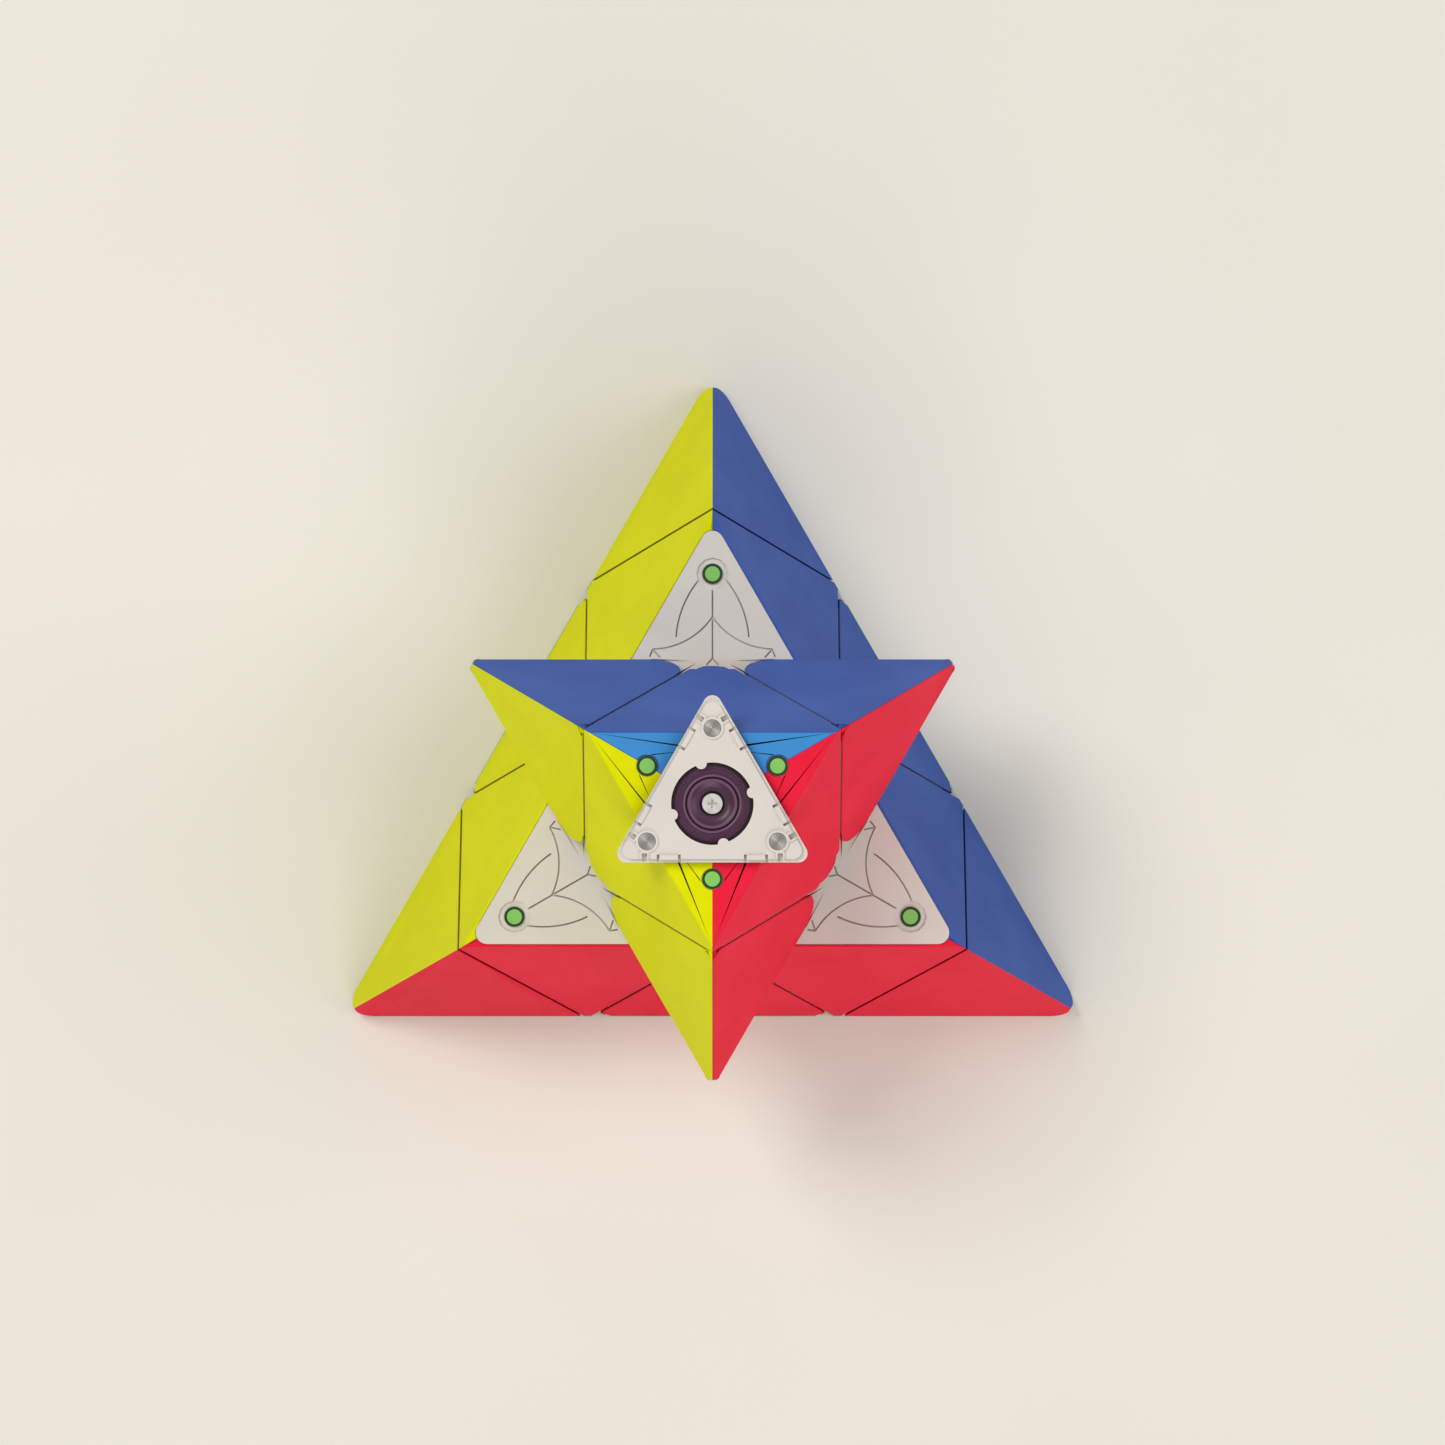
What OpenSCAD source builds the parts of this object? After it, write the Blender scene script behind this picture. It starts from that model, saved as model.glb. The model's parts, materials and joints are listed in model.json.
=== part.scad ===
// Pyramid twisty puzzle: four turning corner layers and four turning tips
// around a ball core, with magnets, sprung axles and a tension dial per corner.
//
// All pieces are cut from one regular tetrahedron. Its centre is the centre of
// the ball core, and four axes run from there to the corners. A corner layer
// turns inside a surface of revolution about its axis: a plane outside the
// foot sphere and a lower plane inside it. Because every piece is cut with the
// same four surfaces, no piece is in another one's way in any turn.
//
// Corners are numbered 0 top, 1 back (+Y), 2 left, 3 right. A face has the
// number of the corner that lies opposite to it.

/* [Body] */
// Edge of the sharp tetrahedron, before its corners are rounded
edge = 101; // [90:0.5:120]
// Radius of the sphere that rounds each outer corner
corner_sphere_r = 3.5; // [2:0.1:5]
// How far the layer seams lie outward of the thirds of the edge
layer_seam_shift = 0.5; // [0:0.05:0.8]
// How far the tip seams lie outward of the thirds of the edge
tip_seam_shift = 0.7; // [0:0.05:1]
// Gap between pieces that turn past each other
piece_gap = 0.3; // [0.2:0.02:0.5]
// Angle by which the top layer is turned at rest
layer_turn = 60; // [0:1:120]

/* [Shells] */
// Thickness of the coloured shells
shell_t = 1.6; // [1.2:0.1:2.2]
// Thickness of the coloured shells of the tip caps
cap_shell_t = 1; // [0.8:0.05:1.1]
// Thickness of the skin with which a shell reaches a cut face
skin_t = 0.36; // [0.3:0.02:0.8]
// How far the thick middle of a shell keeps clear of the cut faces
shell_inset = 1.2; // [0.8:0.1:2]
// Corner radius of the edge pieces at the face centres
edge_corner_r = 4.2; // [2:0.1:4.6]
// Corner radius of the axial pieces at the face centres
axial_corner_r = 2.6; // [1.5:0.1:3]
// Radius that rounds both pointed ends of an edge piece
edge_end_r = 1.3; // [0.8:0.1:2]
// Corner radius of the white field in a cut face of an axial piece
field_corner_r = 1.5; // [1:0.1:2]

/* [Mechanism] */
// Radius of the ball core
core_r = 9; // [8.5:0.1:9.5]
// Radius of the sphere that the edge feet fill
foot_r = 15.5; // [15:0.1:16]
// Height of the lower turning plane inside the foot sphere
foot_plane = 3.6; // [3.4:0.1:4.2]
// Radius of the four posts on the core
post_r = 3; // [2.6:0.1:3.2]
// Radial play of the running fits
fit_play = 0.08; // [0.04:0.01:0.1]
// Radius of the screw shank
screw_r = 1.2; // [1:0.05:1.3]
// Radius of the spring pocket in an axial piece
pocket_r = 4.6; // [4.2:0.1:4.8]
// Radius of the spring's wire
spring_wire_r = 0.35; // [0.25:0.05:0.45]
// Turns of a spring
spring_turns = 5; // [4:1:6]

/* [Tip] */
// Distance from the axis to the sides of the tip plate
plate_inradius = 7.75; // [7.4:0.05:7.8]
// Corner radius of the tip plate
plate_corner_r = 1.2; // [1:0.1:2.4]
// Thickness of the tip plate
plate_t = 1.7; // [1.4:0.1:1.8]
// Outer radius of the tension dial
dial_r = 5.35; // [5.2:0.05:5.4]
// Number of marks around the dial
dial_marks = 20; // [12:1:24]
// Radius of the screw head
screw_head_r = 1.34; // [1.2:0.02:1.4]
// Outer radius of the neck below the tip plate
neck_r = 6.4; // [6.3:0.05:6.5]

/* [Magnets] */
// Radius of every magnet
magnet_r = 1.4; // [1.2:0.05:1.6]
// Thickness of every magnet
magnet_t = 2; // [1.5:0.1:2.5]
// Distance of the layer magnets from the turning axis
layer_magnet_ring = 30.6; // [29:0.1:31.5]
// Distance of the tip magnets from the turning axis
tip_magnet_ring = 9.95; // [9.6:0.05:10.2]

/* [Hidden] */
$fn = 96;
height = edge * sqrt(2 / 3);
face_distance = height / 4;
vertex_distance = height - face_distance;
corner_tilt = acos(-1 / 3);
half_gap = piece_gap / 2;
reach = edge;
ball_turn = [75, 0, 30];

layer_plane = height / 3 - face_distance + layer_seam_shift;
tip_plane = 2 * height / 3 - face_distance + tip_seam_shift;
lower_facet = layer_plane - half_gap;
upper_facet = layer_plane + half_gap;
seat_top = tip_plane - half_gap;
seat_t = 1.3;

// Distance from a corner's axis to the faces around it, at a level
function inradius(level) = (face_distance - level / 3) / sin(corner_tilt);

// Levels along a corner's axis, measured from the centre of the core
screw_bottom = 4;
post_top = core_r + 4.6;
pocket_floor = 19.5;
pocket_top = 30;
washer_t = 0.6;
washer_top = pocket_top + 0.9;
neck_bottom = washer_top + 0.2;
bead_t = 0.8;
plate_bottom = tip_plane + half_gap;
plate_top = plate_bottom + plate_t;
plate_ledge = plate_bottom + 1.2;
raised = 0.25;
tab_t = 0.35;
dial_top = plate_top - tab_t - 0.15;
screw_top = dial_top - 0.15;
screw_head_t = 0.9;

// Radii about a corner's axis
axle_bore_r = screw_r + 0.5;
washer_r = 4.2;
spring_r = 2.9;
bead_r = neck_r + 0.35;
dial_bore_r = dial_r + fit_play;
dial_hub_r = dial_r - 0.5;
seat_hole_r = neck_r + 1;
tip_magnet_r = magnet_r - 0.22;

// Details of a tip plate: clip bars and sockets lie at a distance along a side
// from its middle, and at a distance out from the axis
clip_along = 5.75;
clip_out = 7.1;
clip_l = 2.45;
clip_w = 0.6;
notch_w = 0.35;
socket_along = 8.95;
socket_out = 6.8;
socket_w = 0.7;
recess_depth = 0.6;
rim_w = 0.3;
tab_turn = 15.6;
tab_r = 0.75;

// Grooves in the cut faces of the axial pieces: one half of the flower, as
// straight runs [from, to] and arcs [centre, radius, start, end]
groove_depth = 0.3;
groove_w = 0.22;
magnet_circle_r = 2.05;
flower_runs = [
    [[0, layer_magnet_ring - magnet_circle_r], [0, 19.3]], [[0, 19.3], [0.8, 18.4]],
    [[8, 20.5], [8.4, 19.5]], [[8, 20.5], [7, 19.4]]
];
flower_arcs = [[[-8.6, 21.2], 13.5, 4, 39], [[8.2, 30.4], 9.9, 214, 269]];

// Numbers of the corners, and of the faces opposite to them
top = 0;
back = 1;
left = 2;
right = 3;
green = 0;
red = 1;
blue = 2;
yellow = 3;
face_colours = ["#2FA84F", "#E2283E", "#426BB2", "#D4D800"];
white = "#E1DCD2";
metal = "#B9BBBE";
dial_purple = "#502D46";
magnet_green = "#82C35F";

// ---- Directions and half spaces -------------------------------------------

// Unit vector from the core to a corner
function corner_axis(i) =
    i == 0 ? [0, 0, 1]
    : [cos(120 * i - 30) * sin(corner_tilt), sin(120 * i - 30) * sin(corner_tilt), -1 / 3];

// Corners other than the ones in the list
function others(used) = [for (i = [0:3]) if (len(search(i, used)) == 0) i];

// All points whose distance along the normal is below the limit
module below(normal, limit) {
    unit = normal / norm(normal);
    rotate([0, acos(unit.z), atan2(unit.y, unit.x)])
        translate([-reach, -reach, limit / norm(normal) - 2 * reach])
            cube(2 * reach);
}

// Sphere whose poles keep clear of the corners' axes and of the seams
module ball(radius) {
    rotate(ball_turn) sphere(radius);
}

// All points beyond a level along a corner's axis
module beyond(i, level) {
    below(-corner_axis(i), -level);
}

// Stands children on a corner's axis, with local +Y toward the top corner
module at_corner(i) {
    if (i == 0) children();
    else rotate([0, 0, 120 * (i - 1)])
        rotate([-corner_tilt, 0, 0])
            rotate([0, 0, 180])
                children();
}

// Three copies of children, one toward each neighbouring corner
module toward_neighbours() {
    for (turn = [0:120:240]) rotate([0, 0, turn]) children();
}

// Direction of neighbour j in the local frame of corner i
function neighbour_turn(i, j) =
    i == 0 ? 120 * (j - 1) : j == 0 ? 0 : (j - i + 3) % 3 == 1 ? 240 : 120;

// Which corner comes after corner j in the circle around corner i
function next_around(i, j) =
    [for (k = others([i, j])) if (neighbour_turn(i, k) == (neighbour_turn(i, j) + 120) % 360) k][0];

// Stands children on a corner with local +Y toward a neighbouring corner
module at_side(i, j) {
    at_corner(i) rotate([0, 0, neighbour_turn(i, j)]) children();
}

// ---- Tetrahedron, layers and pieces ---------------------------------------
//
// Each kind of piece is made once, for the top corner or for the edge from the
// top corner to the back one, and at_corner or at_side stands its copies.

// Outer body with sharp corners
module sharp_tetrahedron() {
    intersection_for (i = [0:3]) beyond(i, -face_distance);
}

// Space of one turning layer, grown outward by an amount
module layer_space(i, grow) {
    beyond(i, layer_plane - grow);
    intersection() {
        ball(foot_r + grow);
        beyond(i, foot_plane - grow);
    }
}

// In-plane direction on a face toward which a vector points
function in_face(face, target) =
    let (normal = -corner_axis(face), flat = target - normal * (target * normal))
    flat / norm(flat);

// What lies outside a rounded corner of a piece at the centre of a face. The
// corner points at the face centre and its sides meet there at 60 degrees.
module face_corner_waste(face, target, start, radius) {
    normal = -corner_axis(face);
    along = in_face(face, target);
    depth = 4.4;
    difference() {
        intersection() {
            below(along, start + 1.5 * radius);
            below(-normal, depth - face_distance);
        }
        translate(normal * (face_distance - depth - 1) + along * (start + 2 * radius))
            rotate([0, acos(normal.z), atan2(normal.y, normal.x)])
                cylinder(r = radius, h = depth + 2);
    }
}

// Where a corner between two seams starts, measured from the face centre
function corner_start(level) = (level - face_distance / 3) * 2 / sin(corner_tilt);

// What lies outside a rounded corner of a layer's outline: the corner points
// along +Y, and the sides keep a distance from the axis
module outline_corner_waste(side_distance, radius) {
    centre = 2 * (side_distance - radius);
    difference() {
        translate([-reach, centre + radius / 2, 0]) cube(2 * reach);
        translate([0, centre, -1]) cylinder(r = radius, h = reach);
    }
}

// One axial piece, filled and with its shells on
module axial_block() {
    difference() {
        intersection() {
            sharp_tetrahedron();
            layer_space(top, -half_gap);
            below([0, 0, 1], seat_top);
        }
        for (j = [back, left, right]) {
            layer_space(j, half_gap);
            face_corner_waste(j, [0, 0, 1], corner_start(lower_facet), axial_corner_r);
        }
        ball(core_r + piece_gap);
    }
}

// What the rounding takes from one pointed end of an edge piece
module edge_end_waste() {
    outline_corner_waste(inradius(upper_facet) + 0.02, edge_end_r);
}

// Pointed ends of an edge piece, which are all shell
module edge_ends() {
    solid_from = 2 * (inradius(upper_facet) - edge_end_r) - edge_end_r / 2;
    at_side(top, back) translate([-reach, solid_from, 0]) cube(2 * reach);
    at_side(back, top) translate([-reach, solid_from, 0]) cube(2 * reach);
}

// One edge piece, filled and with its shells on
module edge_block() {
    difference() {
        intersection() {
            sharp_tetrahedron();
            layer_space(top, -half_gap);
            layer_space(back, -half_gap);
        }
        for (k = [left, right]) {
            layer_space(k, half_gap);
            face_corner_waste(k, corner_axis(top) + corner_axis(back),
                corner_start(upper_facet), edge_corner_r);
        }
        at_side(top, back) edge_end_waste();
        at_side(back, top) edge_end_waste();
        ball(core_r + piece_gap);
    }
}

// Space of a coloured shell under one face: a thin skin that reaches the cuts
// and a thicker middle that keeps clear of them. A cut is [direction, limit].
module shell_slab(face, cuts) {
    below(corner_axis(face), skin_t - face_distance);
    intersection() {
        below(corner_axis(face), shell_t - face_distance);
        intersection_for (cut = cuts) below(cut[0], cut[1] - shell_inset);
    }
}

// All points that are nearer to one face than to its rivals
module nearest(face, rivals) {
    intersection_for (rival = rivals) below(corner_axis(face) - corner_axis(rival), 0);
}

// ---- Magnets --------------------------------------------------------------

// Magnet on a ring about a corner's axis, between two levels
module ring_magnet(ring, from, to) {
    translate([0, ring, from]) cylinder(r = magnet_r, h = to - from);
}

// All six magnets of an axial piece: three in its seat, three in its cut faces.
// Their holes run past the surface.
module axial_magnets(past = 0) {
    toward_neighbours()
        ring_magnet(tip_magnet_ring, seat_top - magnet_t, seat_top + past);
    for (j = [back, left, right])
        at_side(j, top)
            ring_magnet(layer_magnet_ring, lower_facet - magnet_t, lower_facet + past);
}

// Both magnets of an edge piece. Their holes run past the surface.
module edge_magnets(past = 0) {
    at_side(top, back)
        ring_magnet(layer_magnet_ring, upper_facet - past, upper_facet + magnet_t);
    at_side(back, top)
        ring_magnet(layer_magnet_ring, upper_facet - past, upper_facet + magnet_t);
}

// Three magnets in a tip plate
module plate_magnets() {
    toward_neighbours()
        translate([0, tip_magnet_ring, plate_top + raised / 2 - magnet_t])
            cylinder(r = tip_magnet_r, h = magnet_t);
}

// ---- Axial pieces ---------------------------------------------------------

// Strip along a straight groove
module straight_groove(from, to) {
    run = to - from;
    translate(from) rotate(atan2(run.y, run.x))
        translate([0, -groove_w / 2]) square([norm(run), groove_w]);
}

// Strip along a part of a circle, between two angles
module arc_groove(centre, radius, start, end) {
    steps = 12;
    angles = [for (k = [0:steps]) start + (end - start) * k / steps];
    function arc(r, list) = [for (a = list) centre + r * [cos(a), sin(a)]];
    polygon(concat(
        arc(radius + groove_w / 2, angles),
        arc(radius - groove_w / 2, [for (k = [steps:-1:0]) angles[k]])
    ));
}

// Flower of grease grooves around the magnet of a cut face, one half
module groove_half() {
    for (run = flower_runs) straight_groove(run[0], run[1]);
    for (arc = flower_arcs) arc_groove(arc[0], arc[1], arc[2], arc[3]);
}

// All grooves of a cut face
module groove_flower() {
    groove_half();
    mirror([1, 0]) groove_half();
    translate([0, layer_magnet_ring])
        arc_groove([0, 0], magnet_circle_r, 0, 360);
}

// Space under one face of an axial piece that its shell takes
module axial_face_slab(face) {
    shell_slab(face, [for (j = others([top, face])) [corner_axis(j), lower_facet]]);
}

// Ring in the seat of an axial piece that the flanges of its shells take
module seat_ring() {
    difference() {
        beyond(top, seat_top - seat_t);
        translate([0, 0, pocket_top]) cylinder(r = seat_hole_r, h = reach);
    }
}

// Corners of the three cut faces of an axial piece that its shells fill, so
// that the white fields between them have round corners
module field_corners() {
    field_inradius = inradius(lower_facet) - skin_t / sin(corner_tilt);
    for (j = [back, left, right])
        at_side(j, top)
            translate([0, 0, lower_facet - shell_inset])
                outline_corner_waste(field_inradius, field_corner_r);
}

// Coloured shell of an axial piece, on the face opposite to the back corner
module axial_shell() {
    difference() {
        intersection() {
            axial_block();
            nearest(back, [left, right]);
            union() {
                axial_face_slab(back);
                seat_ring();
                field_corners();
            }
        }
        axial_magnets(past = 1);
    }
}

// Bores and pockets of an axial piece, along its axis
module axial_bores() {
    cylinder(r = post_r + fit_play, h = post_top + piece_gap);
    cylinder(r = axle_bore_r, h = reach);
    translate([0, 0, pocket_floor]) cylinder(r = pocket_r, h = reach);
    translate([0, 0, pocket_top]) cylinder(r = neck_r + fit_play, h = reach);
    translate([0, 0, neck_bottom - half_gap])
        cylinder(r = bead_r + half_gap, h = bead_t + piece_gap);
}

// White body of an axial piece
module axial_body() {
    difference() {
        axial_block();
        for (face = [back, left, right]) axial_face_slab(face);
        seat_ring();
        field_corners();
        axial_bores();
        axial_magnets(past = 1);
        for (j = [back, left, right])
            at_side(j, top)
                translate([0, 0, lower_facet - groove_depth])
                    linear_extrude(1) groove_flower();
    }
}

// ---- Edge pieces ----------------------------------------------------------

// Space under one face of an edge piece that its shell takes
module edge_face_slab(face) {
    shell_slab(face,
        [[-corner_axis(top), -upper_facet], [-corner_axis(back), -upper_facet]]);
}

// Coloured shell of an edge piece, on the face opposite to the left corner
module edge_shell() {
    intersection() {
        edge_block();
        nearest(left, [right]);
        union() {
            edge_face_slab(left);
            edge_ends();
        }
    }
}

// White body of an edge piece
module edge_body() {
    difference() {
        edge_block();
        edge_face_slab(left);
        edge_face_slab(right);
        edge_ends();
        edge_magnets(past = 1);
    }
}

// ---- Tips -----------------------------------------------------------------

// Triangle with round corners, pointing along +Y
module rounded_triangle(inradius, radius) {
    hull_r = 2 * (inradius - radius);
    centres = [for (a = [90, 210, 330]) hull_r * [cos(a), sin(a)]];
    for (c = centres) translate(c) circle(radius);
    polygon([for (k = [0:2], side = [-60, 60])
        centres[k] + radius * [cos(120 * k + 90 + side), sin(120 * k + 90 + side)]]);
}

// Hollow of a U-shaped socket on a tip plate, open along -Y
module socket_hollow() {
    translate([-socket_w / 2, -0.75]) square([socket_w, 1]);
}

// Wall of the socket
module socket_wall() {
    difference() {
        square([socket_w + 0.5, 1], center = true);
        socket_hollow();
    }
}

// Clip bar along a side of a tip plate
module clip_bar() {
    square([clip_l, clip_w], center = true);
}

// Notches at both ends of a clip bar
module clip_notches() {
    for (end = [-1, 1])
        translate([end * (clip_l + notch_w) / 2, -0.1])
            square([notch_w, clip_w + 0.4], center = true);
}

// Six of a shape, two beside each corner of the tip plate
module at_clips(along, out) {
    toward_neighbours()
        for (side = [-1, 1])
            translate([side * along, -out]) children();
}

// White plate that carries a tip cap, with the neck that snaps into the seat
module tip_plate() {
    difference() {
        union() {
            translate([0, 0, plate_bottom])
                linear_extrude(plate_ledge - plate_bottom)
                    rounded_triangle(plate_inradius, plate_corner_r);
            translate([0, 0, plate_bottom])
                linear_extrude(plate_t)
                    rounded_triangle(plate_inradius - 0.43, plate_corner_r);
            translate([0, 0, plate_ledge])
                linear_extrude(plate_top + raised - plate_ledge)
                    at_clips(clip_along, clip_out) clip_bar();
            translate([0, 0, plate_top])
                linear_extrude(raised) {
                    at_clips(socket_along, socket_out) socket_wall();
                    toward_neighbours()
                        translate([0, tip_magnet_ring]) circle(tip_magnet_r + rim_w);
                }
            neck();
        }
        plate_opening();
        toward_neighbours()
            translate([0, tip_magnet_ring, plate_top + raised / 2 - magnet_t])
                cylinder(r = tip_magnet_r, h = magnet_t + 1);
        translate([0, 0, plate_top - recess_depth])
            linear_extrude(1) {
                at_clips(clip_along, clip_out) clip_notches();
                at_clips(socket_along, socket_out) socket_hollow();
            }
    }
}

// Neck under a tip plate, with its snap bead
module neck() {
    translate([0, 0, neck_bottom]) cylinder(r = neck_r, h = plate_bottom - neck_bottom + 0.5);
    translate([0, 0, neck_bottom]) cylinder(r = bead_r, h = bead_t);
}

// Round opening for the dial, less the four tabs that hold it down
module plate_opening() {
    difference() {
        translate([0, 0, neck_bottom - 1]) cylinder(r = dial_bore_r, h = 10);
        for (k = [0:3])
            rotate(tab_turn + 90 * k)
                translate([dial_r + 0.15, 0, plate_top - tab_t])
                    cylinder(r = tab_r, h = tab_t);
    }
}

// Everything below the top corner, plus the sphere that rounds it
module rounded_corner() {
    sphere_level = vertex_distance - corner_sphere_r * sqrt(3);
    union() {
        below([0, 0, 1], sphere_level + corner_sphere_r * sqrt(1 / 3));
        translate([0, 0, sphere_level]) ball(corner_sphere_r);
    }
}

// Coloured side of a hollow tip cap, on the face opposite to the back corner
module cap_shell() {
    intersection() {
        sharp_tetrahedron();
        rounded_corner();
        beyond(top, plate_bottom);
        below(corner_axis(back), cap_shell_t - face_distance);
        nearest(back, [left, right]);
    }
}

// ---- Core, axles and dials ------------------------------------------------

// Ball core with its four posts
module core() {
    color("#3A3C40")
        difference() {
            union() {
                ball(core_r);
                for (i = [0:3]) at_corner(i)
                    translate([0, 0, screw_bottom])
                        cylinder(r = post_r, h = post_top - screw_bottom);
            }
            for (i = [0:3]) at_corner(i)
                translate([0, 0, screw_bottom]) cylinder(r = screw_r, h = reach);
        }
}

// Screw that holds one corner on the core
module axle_screw() {
    slot = [1.2, 0.3, 1];
    difference() {
        union() {
            translate([0, 0, screw_bottom])
                cylinder(r = screw_r, h = screw_top - screw_bottom);
            translate([0, 0, screw_top - screw_head_t])
                cylinder(r = screw_head_r, h = screw_head_t);
        }
        for (turn = [0, 90])
            rotate(turn) translate([-slot.x / 2, -slot.y / 2, screw_top - 0.6]) cube(slot);
    }
}

// Coil spring between the axial piece and the washer
module tension_spring() {
    sides = 6;
    steps_per_turn = 14;
    steps = spring_turns * steps_per_turn;
    low = pocket_floor + piece_gap + spring_wire_r;
    high = washer_top - washer_t - spring_wire_r;
    function ring_point(k, s) =
        let (a = 360 * k / steps_per_turn, b = 360 * s / sides,
             r = spring_r + spring_wire_r * cos(b),
             z = low + (high - low) * k / steps + spring_wire_r * sin(b))
        [r * cos(a), r * sin(a), z];
    points = [for (k = [0:steps], s = [0:sides - 1]) ring_point(k, s)];
    walls = [for (k = [0:steps - 1], s = [0:sides - 1])
        let (n = (s + 1) % sides)
        [k * sides + s, (k + 1) * sides + s, (k + 1) * sides + n, k * sides + n]];
    ends = [[for (s = [0:sides - 1]) s],
            [for (s = [sides - 1:-1:0]) steps * sides + s]];
    polyhedron(points, concat(walls, ends));
}

// Washer between the spring and the dial
module spring_washer() {
    translate([0, 0, washer_top - washer_t])
        difference() {
            cylinder(r = washer_r, h = washer_t);
            translate([0, 0, -1]) cylinder(r = axle_bore_r, h = washer_t + 2);
        }
}

// Dial that sets the tension of one corner
module dial() {
    hub_bottom = washer_top + 0.1;
    rim_drop = 0.9;
    floor_level = dial_top - 0.15;
    dish_level = dial_top - 0.45;
    well_r = 1.6;
    well_floor = screw_top - screw_head_t - 0.15;
    mark = [0.4, 0.3, 0.35];
    rotate_extrude()
        polygon([
            [screw_r + fit_play, hub_bottom],
            [dial_hub_r, hub_bottom],
            [dial_hub_r, dial_top - rim_drop],
            [dial_r, dial_top - rim_drop],
            [dial_r, dial_top - 0.12],
            [dial_r - 0.12, dial_top],
            [dial_r - 0.3, dial_top],
            // Floor that carries the marks
            [dial_r - 0.38, floor_level],
            [3.95, floor_level],
            // Two rings with a groove between them
            [3.85, dial_top],
            [3.6, dial_top],
            [3.5, dial_top - 0.4],
            [3.34, dial_top - 0.4],
            [3.28, dial_top],
            [3, dial_top],
            // Dish and the well for the screw
            [1.9, dish_level],
            [well_r, dish_level],
            [well_r, well_floor],
            [screw_r + fit_play, well_floor]
        ]);
    for (k = [0:dial_marks - 1])
        rotate(360 * k / dial_marks)
            translate([4.3, -mark.y / 2, dial_top - 0.4]) cube(mark);
}

// ---- Whole puzzle ---------------------------------------------------------

// Stands the puzzle on its green face
module standing() {
    translate([0, 0, face_distance]) children();
}

// Turns the top corner layer
module in_top_layer() {
    standing() rotate(layer_turn) children();
}

// Copies of the pieces in their places and colours
module put_axial(i) {
    // The body is the same three ways round, and a copy may stand in any of them
    color(white) at_corner(i) rotate(i == right ? 0 : 120) axial_body();
}

module put_axial_shell(i, face) {
    color(face_colours[face]) at_side(i, face) axial_shell();
}

module put_edge(i, j) {
    color(white) at_side(i, j) edge_body();
}

// The shell lies on the left of the way from its first corner to its second
module put_edge_shell(i, j, face) {
    color(face_colours[face])
        if (next_around(i, j) == face) at_side(i, j) edge_shell();
        else at_side(j, i) edge_shell();
}

module put_cap_shell(i, face) {
    color(face_colours[face]) at_side(i, face) cap_shell();
}

standing() core();
standing() color(metal) for (i = [0:3]) at_corner(i) axle_screw();  // axle_screws
standing() color(metal) for (i = [0:3]) at_corner(i) tension_spring();  // tension_springs
standing() color(metal) for (i = [0:3]) at_corner(i) spring_washer();  // spring_washers
standing() color(dial_purple) at_corner(top) dial();  // dial_top
standing() color(dial_purple) at_corner(back) dial();  // dial_back
standing() color(dial_purple) at_corner(left) dial();  // dial_left
standing() color(dial_purple) at_corner(right) dial();  // dial_right
in_top_layer() put_axial(top);  // axial_top
standing() put_axial(back);  // axial_back
standing() put_axial(left);  // axial_left
standing() put_axial(right);  // axial_right
in_top_layer() put_axial_shell(top, blue);  // axial_top_shell_blue
in_top_layer() put_axial_shell(top, yellow);  // axial_top_shell_yellow
in_top_layer() put_axial_shell(top, red);  // axial_top_shell_red
standing() put_axial_shell(back, blue);  // axial_back_shell_blue
standing() put_axial_shell(back, yellow);  // axial_back_shell_yellow
standing() put_axial_shell(left, yellow);  // axial_left_shell_yellow
standing() put_axial_shell(left, red);  // axial_left_shell_red
standing() put_axial_shell(right, blue);  // axial_right_shell_blue
standing() put_axial_shell(right, red);  // axial_right_shell_red
standing() for (i = [1:3]) put_axial_shell(i, green);  // axial_shells_green
in_top_layer() put_edge(top, back);  // edge_top_back
in_top_layer() put_edge(top, left);  // edge_top_left
in_top_layer() put_edge(top, right);  // edge_top_right
standing() put_edge(back, left);  // edge_back_left
standing() put_edge(back, right);  // edge_back_right
standing() put_edge(left, right);  // edge_left_right
in_top_layer() put_edge_shell(top, back, blue);  // edge_top_back_shell_blue
in_top_layer() put_edge_shell(top, back, yellow);  // edge_top_back_shell_yellow
in_top_layer() put_edge_shell(top, left, yellow);  // edge_top_left_shell_yellow
in_top_layer() put_edge_shell(top, left, red);  // edge_top_left_shell_red
in_top_layer() put_edge_shell(top, right, blue);  // edge_top_right_shell_blue
in_top_layer() put_edge_shell(top, right, red);  // edge_top_right_shell_red
standing() put_edge_shell(back, left, yellow);  // edge_back_left_shell_yellow
standing() put_edge_shell(back, right, blue);  // edge_back_right_shell_blue
standing() put_edge_shell(left, right, red);  // edge_left_right_shell_red
standing() for (i = [1:3]) put_edge_shell(i, i % 3 + 1, green);  // edge_shells_green
standing() color(white) at_corner(top) tip_plate();  // tip_plate_top
standing() color(white) at_corner(back) tip_plate();  // tip_plate_back
standing() color(white) at_corner(left) tip_plate();  // tip_plate_left
standing() color(white) at_corner(right) tip_plate();  // tip_plate_right
standing() put_cap_shell(back, blue);  // cap_back_blue
standing() put_cap_shell(back, yellow);  // cap_back_yellow
standing() put_cap_shell(back, green);  // cap_back_green
standing() put_cap_shell(left, yellow);  // cap_left_yellow
standing() put_cap_shell(left, red);  // cap_left_red
standing() put_cap_shell(left, green);  // cap_left_green
standing() put_cap_shell(right, blue);  // cap_right_blue
standing() put_cap_shell(right, red);  // cap_right_red
standing() put_cap_shell(right, green);  // cap_right_green
in_top_layer() color(magnet_green) axial_magnets();  // magnets_top_axial
standing() color(magnet_green) for (i = [1:3]) at_corner(i) axial_magnets();  // magnets_base_axials
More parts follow.
